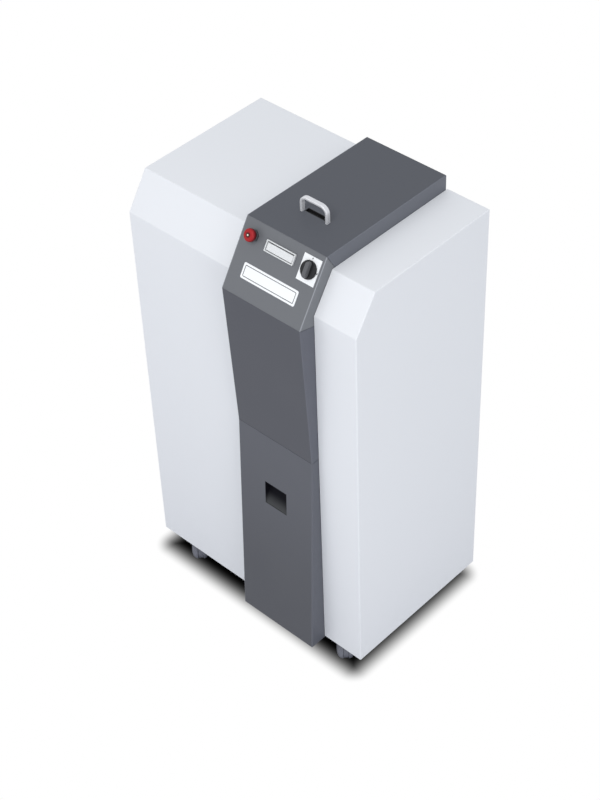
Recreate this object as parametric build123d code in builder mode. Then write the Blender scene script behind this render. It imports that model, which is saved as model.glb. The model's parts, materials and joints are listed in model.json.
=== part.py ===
# Hard drive shredder: a sheet-metal cabinet on twin-wheel castors with a dark service column.
# Millimetres. X runs to the right, Y to the back and Z up, from the floor under the middle of the cabinet.
import os
from math import acos, cos, pi, radians, sin, tan

from build123d import *

os.makedirs("parts", exist_ok=True)

# Cabinet covers
left_cover_width = 454
column_width = 312
right_cover_width = 160
cover_depth = 590
cover_height = 1500
floor_gap = 85
cover_slope_run = 81
cover_slope_drop = 121
cover_sheet = 2
cover_bend = 4
shut_line = 1

# Outline of the column, measured from the front and the top of the covers
lid_rise = 51
panel_setback = 63
nose_reach = 58
nose_drop = 143
crease_reach = 29
crease_drop = 684
foot_reach = 62
foot_drop = 7
column_sheet = 2
column_bend = 3
pan_gap = 1.5
lid_flange = 60
lid_lip_depth = 20
panel_flange = 60
front_flange = 72
slide_gap = 0.5

# Frame
tube = 50
tube_wall = 4
deck_sheet = 3
gusset_sheet = 6
gusset_length = 190
gusset_depth = 112
plate_thickness = 5
plate_inset = 25
bay_front_setback = 6
rear_setback = 8
rear_sheet = 2

# Castors
wheel_radius = 37.5
wheel_width = 22
wheel_shoulder = 13
castor_body_radius = 35
castor_body_width = 16
castor_wheel_gap = 1
castor_trail = 25
castor_turn = -46
castor_inset_x = 118
castor_inset_y = 56.5
castor_axle_radius = 4
castor_stem_radius = 6
castor_neck_radius = 14
castor_plate_size = 76
castor_plate_sheet = 5
castor_socket_radius = 22
castor_socket_depth = 9
castor_swivel_gap = 0.5
castor_bolt_pitch = 56
castor_bolt_radius = 6
castor_bolt_head = 4
castor_headroom = 25

# Running and sliding clearances
running_clearance = 0.06
seat_clearance = 0.05
stem_clearance = 0.3

# Media slot and its flap
media_width = 101.6
media_height = 26.1
media_room = 1.4
media_lift = 1.2
frame_border = 3.5
frame_height = 6
frame_chamfer = 1
frame_corner = 2.5
slot_from_top = 52
chamber_room = 5.6
duct_headroom = 4.25
duct_sheet = 2
flap_sheet = 2.2
flap_gap = 0.4
flap_side_gap = 0.8
flap_foot_gap = 0.9
flap_barrel_radius = 2
flap_pin_radius = 1
flap_pin_depth = 4.5
flap_roof_gap = 0.3

# Emergency stop
estop_from_left = 48
estop_from_top = 45
estop_base_radius = 17.5
estop_base_height = 7
estop_barrel_radius = 11
estop_barrel_depth = 30
estop_stem_radius = 9
estop_stem_depth = 22
estop_head_radius = 20
estop_head_height = 15
estop_lift = 6
estop_key_radius = 6
estop_key_depth = 10
estop_key_proud = 1.5

# Main switch and the bare label plate
switch_edge_gap = 10
switch_slot_gap = 24.3
switch_from_top = 56
switch_plate_height = 80
switch_plate_sheet = 2
knob_rim = 5
knob_disc = 6
knob_grip_width = 15
knob_grip_height = 14
knob_grip_taper = 6
knob_spindle_radius = 4
knob_spindle_depth = 24
label_width = 212
label_height = 48
label_sheet = 1
label_corner = 5
label_from_top = 150

# Lid handle and the finger trough behind it
handle_span = 102
handle_rise = 56
handle_bar_width = 15
handle_bar_height = 10
handle_bend = 22
handle_corner = 4.5
handle_from_front = 116
trough_length = 86
trough_width = 18
trough_depth = 12
trough_sheet = 1.5
trough_offset = 14

# Lid hinges
hinge_leaf_width = 60
hinge_leaf_height = 34
hinge_leaf_sheet = 2
hinge_barrel_radius = 5
hinge_pin_radius = 2.5
hinge_stand_off = 3
hinge_middle = 28
hinge_knuckle_gap = 0.5
hinge_spacing = 180
hinge_lift = 1
lid_back_gap = 5

# Cutting block
cutter_slots = 8
cutter_axial_gap = 0.3
cutter_tip_radius = 60
cutter_body_radius = 53
cutter_teeth = 6
cutter_tooth_root = 51
spacer_radius = 44
shaft_radius = 25
gear_module = 4.5
gear_teeth = 24
gear_width = 24
gear_flank_gap = 0.2
gear_pressure_angle = 20
gear_root_factor = 1.25
gear_stand_off = 2
shaft_end = 3
block_wall = 16
block_half_height = 75
chamber_end_gap = 6
comb_plate = 12
comb_gap = 1.5
comb_half_height = 26
bearing_flange_radius = 50
bearing_flange = 8
bearing_boss_radius = 36
bearing_boss = 14
beam_width = 30
beam_height = 20
cutter_axis_from_top = 275
hopper_from_front = 114
hopper_depth = 180
hopper_top_gap = 40
hopper_sheet = 2

# Drive and electrics
gearbox_flange_radius = 100
gearbox_flange = 12
gearbox_radius = 92
gearbox_length = 130
motor_offset_y = 128
motor_offset_z = -62
motor_radius = 78
motor_fin_height = 10
motor_fins = 24
motor_fin_width = 4
motor_length = 170
fan_cover_length = 55
terminal_box_size = 90
terminal_box_height = 45
electrics_width = 100
electrics_depth = 300
electrics_height = 400
electrics_from_floor = 800
electrics_corner = 6

# Drawer, bin and telescopic runners
runner_height = 45
runner_length = 440
runner_sheet = 1.5
runner_fixed_depth = 5
runner_middle_depth = 5.5
runner_gap = 0.6
runner_above_floor = 34
carriage_sheet = 3
carriage_floor_gap = 10
carriage_side = 75
carriage_front_sheet = 4
bin_sheet = 2
bin_corner = 18
bin_gap = 0.4
bin_depth = 440
bin_top_gap = 45
chute_gap = 16
pull_width = 92
pull_height = 92
pull_depth = 30
pull_wall = 2
pull_flange = 3
pull_roof = 16
pull_drop = 242

# Back of the cabinet
vent_width = 90
vent_height = 6
vent_pitch = 18
vent_column_pitch = 125
vent_rows = 9
gland_flange_radius = 15
gland_flange = 7
gland_body_radius = 11
gland_body_length = 28
gland_bore_radius = 6.5
gland_from_floor = 260

# Planes of the cabinet
half_width = (left_cover_width + column_width + right_cover_width) / 2
half_depth = (cover_depth + foot_reach) / 2
column_left = left_cover_width - half_width
column_right = column_left + column_width
column_middle = column_left + column_width / 2
cover_back = half_depth
cover_front = half_depth - cover_depth
cover_bottom = floor_gap
cover_top = floor_gap + cover_height
lid_top = cover_top + lid_rise
column_back = cover_back - rear_setback
plate_left_outer = column_left + column_sheet
plate_right_outer = column_right - column_sheet
bay_left = plate_left_outer + plate_thickness
bay_right = plate_right_outer - plate_thickness
bay_front = cover_front + bay_front_setback
castor_top = 2 * wheel_radius + castor_headroom
frame_top = castor_top + tube

# Corners of the column's outline as (y, z)
lid_back_corner = Vector(column_back, lid_top)
panel_head = Vector(cover_front + panel_setback, lid_top)
panel_nose = Vector(cover_front - nose_reach, cover_top - nose_drop)
crease = Vector(cover_front - crease_reach, cover_top - crease_drop)
foot = Vector(cover_front - foot_reach, cover_bottom - foot_drop)


def finish(builder, label):
    builder.part.label = label
    export_step(builder.part, f"parts/{label}.step")


def side_profile(x, points):
    # Closed outline in a Y-Z plane
    with BuildSketch(Plane.YZ.offset(x)) as outline:
        with BuildLine():
            Polyline(*points, close=True)
        make_face()
    return outline.sketch


def mitre(before, corner, after):
    # Direction from a corner into the column, halfway between its two sheets
    direction = ((before - corner).normalized() + (after - corner).normalized()).normalized()
    return direction if direction.X > 0 else direction * -1


def along(start, end, distance):
    return start + (end - start).normalized() * distance


def flange_corner(point, skin, direction, depth):
    # Point on a mitre line at a depth behind the skin
    return point + direction * (depth / abs(skin.X * direction.Y - skin.Y * direction.X))


def middle(first, second):
    return (first + second) * 0.5


def nearest_face(builder, x, point):
    return builder.faces().sort_by_distance((x, point.X, point.Y))[0]


def round_skin(builder, start, end, radius):
    # Rounds the two long bends between a skin and its side flanges
    skin = nearest_face(builder, column_middle, middle(start, end))
    fillet(skin.edges().filter_by(Axis.X, reverse=True), radius=radius)


# Mitre directions at the three bends of the column
head_mitre = mitre(lid_back_corner, panel_head, panel_nose)
nose_mitre = mitre(panel_head, panel_nose, crease)
crease_mitre = mitre(panel_nose, crease, foot)
panel_slope = (panel_nose - panel_head).normalized()
front_slope = (crease - panel_nose).normalized()
panel_plane = Plane(
    origin=(column_middle, panel_head.X, panel_head.Y),
    x_dir=(1, 0, 0),
    z_dir=(0, panel_slope.Y, -panel_slope.X),
)

panel_axis = Axis(panel_plane.origin, panel_plane.z_dir)

# Base frame of downward-open channels with corner gussets for the castors
frame_left = -half_width + cover_sheet
frame_front = cover_front + cover_sheet
frame_back = cover_back - cover_sheet
frame_mid_y = (frame_front + frame_back) / 2
frame_depth = frame_back - frame_front
channel_centres = [frame_left + tube / 2, column_left, column_right, -frame_left - tube / 2]
castor_x = half_width - castor_inset_x
castor_rows = {"front": cover_front + castor_inset_y, "rear": cover_back - castor_inset_y}
castor_columns = {"left": -castor_x, "right": castor_x}
with BuildPart() as base_frame:
    with BuildSketch(Plane.XY.offset(castor_top)):
        for edge_y in (frame_front + tube / 2, frame_back - tube / 2):
            with Locations((0, edge_y)):
                Rectangle(-2 * frame_left, tube)
        for channel_x in channel_centres:
            with Locations((channel_x, frame_mid_y)):
                Rectangle(tube, frame_depth)
    extrude(amount=tube)
    with BuildSketch(Plane.XY.offset(castor_top)):
        for edge_y in (frame_front + tube / 2, frame_back - tube / 2):
            with Locations((0, edge_y)):
                Rectangle(-2 * (frame_left + tube_wall), tube - 2 * tube_wall)
        for channel_x in channel_centres:
            with Locations((channel_x, frame_mid_y)):
                Rectangle(tube - 2 * tube_wall, frame_depth - 2 * tube_wall)
    extrude(amount=tube - tube_wall, mode=Mode.SUBTRACT)
    with BuildSketch(Plane.XY.offset(frame_top)):
        with Locations((0, frame_mid_y)):
            Rectangle(-2 * frame_left, frame_depth)
    extrude(amount=-deck_sheet)
    with BuildSketch(Plane.XY.offset(castor_top)):
        for side in (-1, 1):
            gusset_x = side * (-frame_left - gusset_length / 2)
            for gusset_y in (frame_front + gusset_depth / 2, frame_back - gusset_depth / 2):
                with Locations((gusset_x, gusset_y)):
                    Rectangle(gusset_length, gusset_depth)
    extrude(amount=gusset_sheet)
    outer_corners = base_frame.edges().filter_by(Axis.Z).filter_by(
        lambda edge: edge.length > tube - tube_wall and abs(edge.center().X) > half_width - tube_wall
    )
    fillet(outer_corners, radius=cover_bend)
finish(base_frame, "base_frame")

# Castor top plates with their swivel sockets, and the bolts that hold them
castor_spots = [(x, y) for y in castor_rows.values() for x in castor_columns.values()]
socket_bottom = castor_top - castor_plate_sheet - castor_socket_depth
with BuildPart() as castor_plates:
    with BuildSketch(Plane.XY.offset(castor_top)):
        with Locations(*castor_spots):
            RectangleRounded(castor_plate_size, castor_plate_size, castor_bolt_radius)
    extrude(amount=-castor_plate_sheet)
    with BuildSketch(Plane.XY.offset(socket_bottom)):
        with Locations(*castor_spots):
            Circle(castor_socket_radius)
    extrude(amount=castor_socket_depth)
    with BuildSketch(Plane.XY.offset(socket_bottom)):
        with Locations(*castor_spots):
            Circle(castor_stem_radius + running_clearance)
    extrude(amount=castor_socket_depth + castor_plate_sheet, mode=Mode.SUBTRACT)
finish(castor_plates, "castor_plates")

with BuildPart() as castor_bolts:
    with BuildSketch(Plane.XY.offset(castor_top - castor_plate_sheet)):
        for spot_x, spot_y in castor_spots:
            with Locations((spot_x, spot_y)):
                with GridLocations(castor_bolt_pitch, castor_bolt_pitch, 2, 2):
                    RegularPolygon(castor_bolt_radius, 6)
    extrude(amount=-castor_bolt_head)
finish(castor_bolts, "castor_bolts")


def make_castor(row, column):
    # One swivelling body and the pair of wheels on its axle
    spot = Vector(castor_columns[column], castor_rows[row], 0)
    heading = Vector(cos(radians(castor_turn)), sin(radians(castor_turn)), 0)
    axle_direction = Vector(-heading.Y, heading.X, 0)
    upright = Plane(origin=spot, x_dir=heading, z_dir=heading.cross(Vector(0, 0, 1)))
    axle_point = spot + heading * castor_trail + Vector(0, 0, wheel_radius)
    axle_plane = Plane(origin=axle_point, x_dir=heading, z_dir=axle_direction)
    neck_top = socket_bottom - castor_swivel_gap
    with BuildPart() as body:
        with BuildSketch(Plane.XY.offset(wheel_radius)):
            with Locations((spot.X, spot.Y)):
                Circle(castor_neck_radius)
        extrude(amount=neck_top - wheel_radius)
        for flank in (-1, 1):
            with BuildSketch(upright.offset(flank * castor_body_width / 2)):
                with Locations((castor_trail, wheel_radius)):
                    Circle(wheel_radius + castor_wheel_gap)
            extrude(amount=flank * wheel_width, mode=Mode.SUBTRACT)
        with BuildSketch(upright):
            with Locations((castor_trail, wheel_radius)):
                Circle(castor_body_radius)
        extrude(amount=castor_body_width / 2, both=True)
        with BuildSketch(Plane.XY.offset(neck_top)):
            with Locations((spot.X, spot.Y)):
                Circle(castor_stem_radius)
        extrude(amount=castor_top - castor_plate_sheet / 2 - neck_top)
        with BuildSketch(axle_plane):
            Circle(castor_axle_radius + running_clearance)
        extrude(amount=castor_body_width, both=True, mode=Mode.SUBTRACT)
    finish(body, f"castor_body_{row}_{column}")
    inner_face = castor_body_width / 2 + castor_wheel_gap
    with BuildPart() as wheels:
        with BuildSketch(axle_plane):
            Circle(castor_axle_radius)
        extrude(amount=inner_face + wheel_width / 2, both=True)
        for flank in (-1, 1):
            with BuildSketch(axle_plane.offset(flank * inner_face)):
                Circle(wheel_radius)
            extrude(amount=flank * wheel_width)
        outer_rims = wheels.edges().filter_by(GeomType.CIRCLE).group_by(Edge.radius)[-1]
        fillet(outer_rims.sort_by_distance(axle_point)[2:], radius=wheel_shoulder)
    finish(wheels, f"castor_wheels_{row}_{column}")


for castor_row in castor_rows:
    for castor_column in castor_columns:
        make_castor(castor_row, castor_column)

# Sheet-metal covers, open below and towards the column
cover_outline = [
    (cover_front, cover_bottom),
    (cover_front, cover_top - cover_slope_drop),
    (cover_front + cover_slope_run, cover_top),
    (cover_back, cover_top),
    (cover_back, cover_bottom),
]


def round_cover(builder, outer_x):
    # Rounds every bend of a cover and leaves the rims of its open sides sharp
    inner_x = builder.part.center().X * 2 - outer_x
    bends = builder.edges().filter_by(
        lambda edge: edge.center().Z > cover_bottom + shut_line
        and abs(edge.center().X - inner_x) > shut_line
    )
    fillet(bends, radius=cover_bend)


def side_flat(inset):
    # Flat of the left cover's outer side, between its bends and down to its open foot
    with BuildSketch(Plane.YZ.offset(-half_width)) as flat:
        with BuildLine():
            Polyline(*cover_outline, close=True)
        make_face()
        offset(amount=-inset, kind=Kind.INTERSECTION)
        with Locations(((cover_front + cover_back) / 2, cover_bottom)):
            Rectangle(cover_depth - 2 * inset, inset, align=(Align.CENTER, Align.MIN))
    return flat.sketch


with BuildPart() as left_cover:
    extrude(side_profile(-half_width, cover_outline), amount=left_cover_width - shut_line)
    round_cover(left_cover, -half_width)
    open_faces = [left_cover.faces().sort_by(Axis.X)[-1], left_cover.faces().sort_by(Axis.Z)[0]]
    offset(amount=-cover_sheet, openings=open_faces)
    extrude(side_flat(cover_bend), amount=cover_sheet, mode=Mode.SUBTRACT)
finish(left_cover, "left_cover")

with BuildPart() as left_side_panel:
    extrude(side_flat(cover_bend + seat_clearance), amount=cover_sheet)
finish(left_side_panel, "left_side_panel")

with BuildPart() as right_cover:
    extrude(side_profile(column_right + shut_line, cover_outline), amount=right_cover_width - shut_line)
    round_cover(right_cover, half_width)
    open_faces = [right_cover.faces().sort_by(Axis.X)[0], right_cover.faces().sort_by(Axis.Z)[0]]
    offset(amount=-cover_sheet, openings=open_faces)
finish(right_cover, "right_cover")

# Side plates of the column, which carry the panels, the cutting block and the runners
hinge_z = cover_top + hinge_lift
hinge_y = column_back + hinge_stand_off
plate_back = column_back - rear_sheet
head_in = flange_corner(panel_head, panel_slope, head_mitre, plate_inset)
nose_in = flange_corner(panel_nose, panel_slope, nose_mitre, plate_inset)
crease_in = along(flange_corner(crease, front_slope, crease_mitre, plate_inset), nose_in, bay_front_setback)
plate_outline = [
    (bay_front, frame_top),
    (bay_front, crease_in.Y),
    (crease_in.X, crease_in.Y),
    (nose_in.X, nose_in.Y),
    (head_in.X, head_in.Y),
    (plate_back - rear_setback, head_in.Y),
    (plate_back - rear_setback, hinge_z - lid_back_gap),
    (plate_back, hinge_z - lid_back_gap),
    (plate_back, frame_top),
]
hopper_front = cover_front + hopper_from_front
hopper_back = hopper_front + hopper_depth
block_middle = (hopper_front + hopper_back) / 2
shaft_distance = gear_module * gear_teeth
cutter_axis_z = cover_top - cutter_axis_from_top
shaft_y = {"a": block_middle - shaft_distance / 2, "b": block_middle + shaft_distance / 2}
with BuildPart() as side_plate_left:
    extrude(side_profile(plate_left_outer, plate_outline), amount=plate_thickness)
    with BuildSketch(Plane.YZ.offset(plate_left_outer)):
        with Locations((shaft_y["a"], cutter_axis_z)):
            Circle(bearing_boss_radius)
    extrude(amount=plate_thickness, mode=Mode.SUBTRACT)
finish(side_plate_left, "side_plate_left")

with BuildPart() as side_plate_right:
    extrude(side_profile(bay_right, plate_outline), amount=plate_thickness)
finish(side_plate_right, "side_plate_right")

# Rear panel with its vents and the hole for the cable gland
rear_top = hinge_z - lid_back_gap
vent_middle_z = cover_top - cover_slope_drop - vent_rows * vent_pitch
with BuildPart() as rear_panel:
    with BuildSketch(Plane.XZ.offset(-plate_back)):
        with Locations((column_middle, (frame_top + rear_top) / 2)):
            Rectangle(plate_right_outer - plate_left_outer, rear_top - frame_top)
        with Locations((column_middle, vent_middle_z)):
            with GridLocations(vent_column_pitch, vent_pitch, 2, vent_rows):
                SlotOverall(vent_width, vent_height, mode=Mode.SUBTRACT)
        with Locations((column_middle, gland_from_floor)):
            Circle(gland_body_radius + seat_clearance, mode=Mode.SUBTRACT)
    extrude(amount=-rear_sheet)
finish(rear_panel, "rear_panel")

with BuildPart() as cable_gland:
    with BuildSketch(Plane.XZ.offset(-column_back)):
        with Locations((column_middle, gland_from_floor)):
            RegularPolygon(gland_flange_radius, 6)
    extrude(amount=-gland_flange)
    with BuildSketch(Plane.XZ.offset(-column_back)):
        with Locations((column_middle, gland_from_floor)):
            Circle(gland_body_radius)
    extrude(amount=gland_body_length)
    with BuildSketch(Plane.XZ.offset(-column_back - gland_flange)):
        with Locations((column_middle, gland_from_floor)):
            Circle(gland_bore_radius)
    extrude(amount=gland_flange + gland_body_length, mode=Mode.SUBTRACT)
finish(cable_gland, "cable_gland")

# Control panel: a folded pan with holes for the media slot, the stop button and the switch
slot_width = media_width + 2 * media_room
slot_height = media_height + 2 * media_lift
chamber_width = slot_width + chamber_room
duct_height = slot_height + 2 * duct_headroom
estop_spot = (estop_from_left - column_width / 2, -estop_from_top)
switch_plate_width = (column_width - slot_width) / 2 - frame_border - switch_slot_gap - switch_edge_gap
knob_radius = switch_plate_width / 2 - knob_rim
switch_spot = ((column_width - switch_plate_width) / 2 - switch_edge_gap, -switch_from_top)
panel_start = along(panel_head, panel_nose, pan_gap / 2)
panel_end = along(panel_nose, panel_head, pan_gap / 2)
panel_outline = [
    panel_start,
    panel_end,
    flange_corner(panel_end, panel_slope, nose_mitre, panel_flange),
    flange_corner(panel_start, panel_slope, head_mitre, panel_flange),
]


def open_pan(builder, outline, sheet):
    # Leaves the skin and the side flanges of a four-sided pan
    start, end, inner_end, inner_start = outline
    open_ends = [middle(end, inner_end), middle(inner_end, inner_start), middle(inner_start, start)]
    open_sides = [nearest_face(builder, column_middle, point) for point in open_ends]
    offset(amount=-sheet, openings=open_sides)


with BuildPart() as control_panel:
    extrude(side_profile(column_left, panel_outline), amount=column_width)
    round_skin(control_panel, panel_start, panel_end, column_bend)
    open_pan(control_panel, panel_outline, column_sheet)
    with BuildSketch(panel_plane):
        with Locations((0, -slot_from_top)):
            Rectangle(chamber_width, duct_height)
        with Locations(estop_spot):
            Circle(estop_barrel_radius + seat_clearance)
        with Locations(switch_spot):
            Circle(knob_spindle_radius + stem_clearance)
    extrude(amount=-2 * column_sheet, mode=Mode.SUBTRACT)
finish(control_panel, "control_panel")

front_start = along(panel_nose, crease, pan_gap / 2)
front_end = along(crease, panel_nose, pan_gap / 2)
front_outline = [
    front_start,
    front_end,
    flange_corner(front_end, front_slope, crease_mitre, front_flange),
    flange_corner(front_start, front_slope, nose_mitre, front_flange),
]
with BuildPart() as upper_front_panel:
    extrude(side_profile(column_left, front_outline), amount=column_width)
    round_skin(upper_front_panel, front_start, front_end, column_bend)
    open_pan(upper_front_panel, front_outline, column_sheet)
finish(upper_front_panel, "upper_front_panel")

# Lid: a pan with a short front lip, a back wall above the hinges and a slot for the finger trough
lid_sheet = column_sheet - slide_gap
lid_start = along(panel_head, lid_back_corner, pan_gap / 2)
lid_bottom = lid_top - lid_flange
lid_lip = lid_top - lid_lip_depth
lid_inner_left = column_left + lid_sheet
lid_inner_width = column_width - 2 * lid_sheet
handle_y = panel_head.X + handle_from_front
trough_y = handle_y + trough_offset
lid_outline = [
    lid_start,
    lid_back_corner,
    Vector(column_back, lid_bottom),
    flange_corner(lid_start, Vector(1, 0), head_mitre, lid_flange),
]
front_relief = [
    (lid_start.X, lid_bottom),
    (lid_start.X, lid_lip),
    (hopper_front, lid_lip),
    (hopper_front, lid_bottom),
]
back_relief = [
    (plate_back, lid_bottom),
    (plate_back, hinge_z + lid_back_gap),
    (column_back, hinge_z + lid_back_gap),
    (column_back, lid_bottom),
]
with BuildPart() as lid:
    extrude(side_profile(column_left, lid_outline), amount=column_width)
    round_skin(lid, lid_start, lid_back_corner, column_bend)
    underside = nearest_face(lid, column_middle, middle(lid_outline[2], lid_outline[3]))
    offset(amount=-lid_sheet, openings=underside)
    for relief in (front_relief, back_relief):
        extrude(side_profile(lid_inner_left, relief), amount=lid_inner_width, mode=Mode.SUBTRACT)
    with BuildSketch(Plane.XY.offset(lid_top)):
        with Locations((column_middle, trough_y)):
            Rectangle(trough_length, trough_width)
    extrude(amount=-2 * lid_sheet, mode=Mode.SUBTRACT)
finish(lid, "lid")

with BuildPart() as handle_trough:
    with BuildSketch(Plane.XY.offset(lid_top)):
        with Locations((column_middle, trough_y)):
            Rectangle(trough_length - 2 * seat_clearance, trough_width - 2 * seat_clearance)
    extrude(amount=-trough_depth)
    offset(amount=-trough_sheet, openings=handle_trough.faces().sort_by(Axis.Z)[-1])
finish(handle_trough, "handle_trough")

# Bow handle on the lid
bow_top = lid_top + handle_rise - handle_bar_height / 2
foot_left = column_middle - handle_span / 2
foot_right = column_middle + handle_span / 2
with BuildPart() as lid_handle:
    with BuildLine(Plane.XZ.offset(-handle_y)):
        FilletPolyline(
            (foot_left, lid_top),
            (foot_left, bow_top),
            (foot_right, bow_top),
            (foot_right, lid_top),
            radius=handle_bend,
        )
    with BuildSketch(Plane.XY.offset(lid_top)):
        with Locations((foot_left, handle_y)):
            RectangleRounded(handle_bar_height, handle_bar_width, handle_corner)
    sweep()
finish(lid_handle, "lid_handle")

# Lid hinges: a fixed leaf below and a moving leaf above each pin
hinge_spots = [column_middle - hinge_spacing / 2, column_middle + hinge_spacing / 2]
knuckle_side = (hinge_leaf_width - hinge_middle) / 2 - hinge_knuckle_gap
leaf_start = hinge_barrel_radius + hinge_knuckle_gap
side_knuckle_centre = (hinge_leaf_width - knuckle_side) / 2


def hinge_leaves(direction, knuckles, bore):
    # Leaves on every hinge spot, going up or down, with knuckles as (centre, length) along the pin
    with BuildPart() as leaves:
        for spot_x in hinge_spots:
            with BuildSketch(Plane.XZ.offset(-column_back)):
                with Locations((spot_x, hinge_z + direction * (leaf_start + hinge_leaf_height / 2))):
                    Rectangle(hinge_leaf_width, hinge_leaf_height)
                for centre, length in knuckles:
                    with Locations((spot_x + centre, hinge_z + direction * leaf_start / 2)):
                        Rectangle(length, leaf_start)
            extrude(amount=-hinge_leaf_sheet)
            for centre, length in knuckles:
                with BuildSketch(Plane.YZ.offset(spot_x + centre)):
                    with Locations((hinge_y, hinge_z)):
                        Circle(hinge_barrel_radius)
                extrude(amount=length / 2, both=True)
        for spot_x in hinge_spots:
            with BuildSketch(Plane.YZ.offset(spot_x)):
                with Locations((hinge_y, hinge_z)):
                    Circle(hinge_pin_radius + bore)
            extrude(amount=hinge_leaf_width, both=True, mode=Mode.SUBTRACT)
    return leaves


side_knuckles = [(-side_knuckle_centre, knuckle_side), (side_knuckle_centre, knuckle_side)]
finish(hinge_leaves(-1, side_knuckles, seat_clearance), "lid_hinge_fixed")
finish(hinge_leaves(1, [(0, hinge_middle)], running_clearance), "lid_hinge_moving")

with BuildPart() as lid_hinge_pins:
    for hinge_x in hinge_spots:
        with BuildSketch(Plane.YZ.offset(hinge_x)):
            with Locations((hinge_y, hinge_z)):
                Circle(hinge_pin_radius)
        extrude(amount=hinge_leaf_width / 2, both=True)
finish(lid_hinge_pins, "lid_hinge_pins")

# Media slot: white frame, inward flap on its pin, sloping duct and hopper
with BuildPart() as slot_frame:
    with BuildSketch(panel_plane):
        with Locations((0, -slot_from_top)):
            RectangleRounded(slot_width + 2 * frame_border, slot_height + 2 * frame_border, frame_corner)
            Rectangle(slot_width, slot_height, mode=Mode.SUBTRACT)
    extrude(amount=frame_height)
    chamfer(slot_frame.faces().sort_by(panel_axis)[-1].edges(), length=frame_chamfer)
finish(slot_frame, "slot_frame")

# The flap closes against the back of the frame and hangs on a pin held by the duct
duct_top = -slot_from_top + duct_height / 2
duct_bottom = -slot_from_top - duct_height / 2
flap_pivot = duct_top - flap_barrel_radius - flap_roof_gap
flap_head = flap_pivot + flap_barrel_radius / 2
flap_foot = duct_bottom + flap_foot_gap
flap_width = chamber_width - 2 * flap_side_gap
flap_back = -flap_gap - flap_sheet


def flap_section(x):
    # Plane across the flap whose local X leaves the panel and whose local Y climbs it
    return Plane(origin=panel_plane.from_local_coords((x, 0, 0)), x_dir=panel_plane.z_dir, z_dir=(-1, 0, 0))


with BuildPart() as feed_flap:
    with BuildSketch(flap_section(flap_width / 2)):
        with Locations((flap_back, flap_foot)):
            Rectangle(flap_sheet, flap_head - flap_foot, align=(Align.MIN, Align.MIN))
        with Locations((-flap_pin_depth, flap_pivot)):
            Circle(flap_barrel_radius)
        with Locations((-flap_pin_depth, flap_pivot)):
            Rectangle(flap_pin_depth + flap_back, flap_barrel_radius, align=(Align.MIN, Align.CENTER))
        with Locations((-flap_pin_depth, flap_pivot)):
            Circle(flap_pin_radius + running_clearance, mode=Mode.SUBTRACT)
    extrude(amount=flap_width)
finish(feed_flap, "feed_flap")

duct_outer_width = chamber_width + 2 * duct_sheet
with BuildPart() as feed_flap_pin:
    with BuildSketch(flap_section(duct_outer_width / 2)):
        with Locations((-flap_pin_depth, flap_pivot)):
            Circle(flap_pin_radius)
    extrude(amount=duct_outer_width)
finish(feed_flap_pin, "feed_flap_pin")

duct_run = (hopper_back - panel_nose.X) / -panel_plane.z_dir.Y
duct_mouth_run = (block_middle - panel_nose.X) / -panel_plane.z_dir.Y
hopper_outer_front = hopper_front - hopper_sheet
with BuildPart() as feed_chute:
    with BuildSketch(panel_plane.offset(-column_sheet)):
        with Locations((0, -slot_from_top)):
            Rectangle(duct_outer_width, duct_height + 2 * duct_sheet)
            Rectangle(chamber_width, duct_height, mode=Mode.SUBTRACT)
    extrude(amount=-duct_run)
    split(bisect_by=Plane(origin=(0, hopper_outer_front, 0), z_dir=(0, -1, 0)), keep=Keep.TOP)
    with BuildSketch(flap_section(duct_outer_width)):
        with Locations((-flap_pin_depth, flap_pivot)):
            Circle(flap_pin_radius + seat_clearance)
    extrude(amount=2 * duct_outer_width, mode=Mode.SUBTRACT)
finish(feed_chute, "feed_chute")

# Hopper over the cutters, open above and below, on a flange that covers the block
block_top = cutter_axis_z + block_half_height
block_bottom = cutter_axis_z - block_half_height
hopper_top = lid_top - hopper_top_gap
block_half_length = shaft_distance / 2 + cutter_tip_radius + chamber_end_gap + comb_plate
block_width = chamber_width + 2 * block_wall
with BuildPart() as hopper:
    with BuildSketch(Plane.XY.offset(block_top)):
        with Locations((column_middle, block_middle)):
            Rectangle(block_width, 2 * block_half_length)
    extrude(amount=hopper_sheet)
    with BuildSketch(Plane.XY.offset(block_top)):
        with Locations((column_middle, block_middle)):
            Rectangle(chamber_width + 2 * hopper_sheet, hopper_depth + 2 * hopper_sheet)
    extrude(amount=hopper_top - block_top)
    with BuildSketch(Plane.XY.offset(block_top)):
        with Locations((column_middle, block_middle)):
            Rectangle(chamber_width, hopper_depth)
    extrude(amount=hopper_top - block_top, mode=Mode.SUBTRACT)
    with BuildSketch(panel_plane):
        with Locations((0, -slot_from_top)):
            Rectangle(chamber_width, duct_height)
    extrude(amount=-duct_mouth_run, mode=Mode.SUBTRACT)
finish(hopper, "hopper")

# Emergency stop: fixed base, sprung mushroom head and the release key in its middle
head_bottom = estop_base_height + estop_lift
head_top = head_bottom + estop_head_height


def panel_disc(spot, bottom, top, radius, mode=Mode.ADD):
    # Round boss square to the control panel between two heights above it
    with BuildSketch(panel_plane.offset(bottom)) as disc:
        with Locations(spot):
            Circle(radius)
    extrude(disc.sketch, amount=top - bottom, mode=mode)


with BuildPart() as estop_base:
    panel_disc(estop_spot, 0, estop_base_height, estop_base_radius)
    chamfer(estop_base.faces().sort_by(panel_axis)[-1].edges(), length=estop_base_height / 4)
    panel_disc(estop_spot, -estop_barrel_depth, 0, estop_barrel_radius)
    bore_radius = estop_stem_radius + stem_clearance
    panel_disc(estop_spot, -estop_barrel_depth, estop_base_height, bore_radius, Mode.SUBTRACT)
finish(estop_base, "estop_base")

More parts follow.
